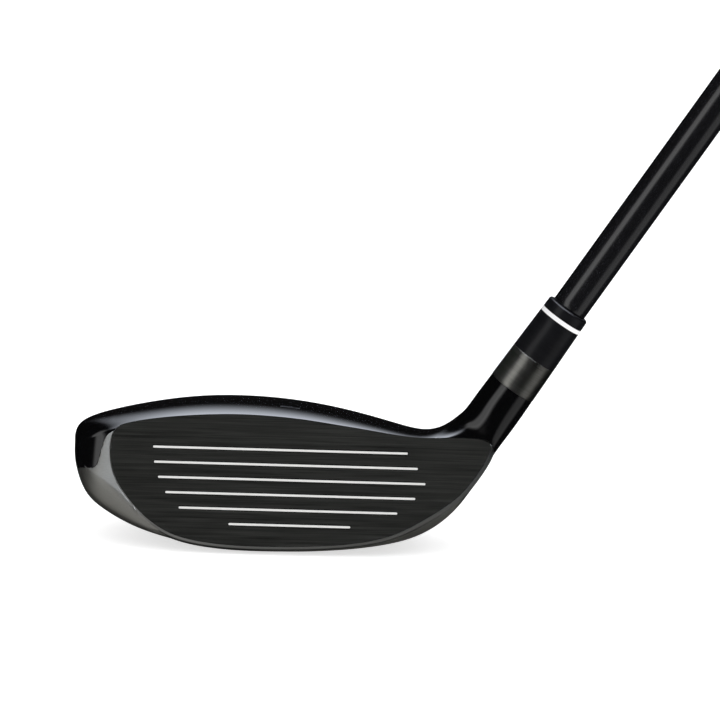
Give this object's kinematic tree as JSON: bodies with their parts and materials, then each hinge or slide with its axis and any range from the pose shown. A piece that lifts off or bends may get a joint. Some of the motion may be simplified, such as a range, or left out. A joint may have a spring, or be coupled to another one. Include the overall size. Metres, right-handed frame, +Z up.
{
  "type": "hybrid golf club",
  "caption": "Right-handed hybrid golf club standing at address: hollow steel head with a grooved face, bonded graphite shaft, ferrule and rubber grip.",
  "frame": {"origin": "the point of the sole that rests on the ground, behind the middle of the face", "axes": "+Z up from the ground at address, +X from the toe to the heel, -Y towards the target, +Y towards the back of the head"},
  "size_m": [0.6634, 0.0595, 0.8591],
  "materials": {
    "head_metal": "satin",
    "face_metal": "satin",
    "crown_paint": "gloss",
    "line_paint": "matte",
    "mark_paint": "matte",
    "weight_metal": "satin",
    "inner_metal": "matte",
    "brass": "satin",
    "glue": "satin",
    "soft_rubber": "matte",
    "ferrule_black": "gloss",
    "ferrule_white": "gloss",
    "shaft_paint": "gloss",
    "tape": "matte",
    "grip_rubber": "matte"
  },
  "bodies": {
    "club": {"head_body": "head_metal", "face_plate": "face_metal", "crown": "crown_paint", "hosel_band": "head_metal", "score_lines": "line_paint", "alignment_mark": "mark_paint", "internal_weight": "inner_metal", "hot_melt": "glue", "shaft_bond": "glue", "tip_weight": "brass", "tip_plug": "soft_rubber", "ferrule_body": "ferrule_black", "ferrule_ring": "ferrule_white", "ferrule_collar": "ferrule_black", "shaft": "shaft_paint", "grip_tape": "tape", "grip": "grip_rubber", "grip_cap": "grip_rubber"},
    "washer": {"weight_washer": "soft_rubber"},
    "weight": {"weight_screw": "weight_metal"}
  },
  "joints": [
    {"name": "weight_lift", "type": "slide", "parent": "club", "child": "washer", "axis": [0, 0.1736, -0.9848], "range_m": [0, 0.00501]},
    {"name": "weight_turn", "type": "hinge", "parent": "washer", "child": "weight", "pos_m": [-0.004, 0.028, 0.0019], "axis": [0, 0.1736, -0.9848], "range_deg": [0, 1800]}
  ],
  "couplings": [
    {"joint": "weight_lift", "follows": "weight_turn", "m_per_rad": 0.00015915}
  ]
}
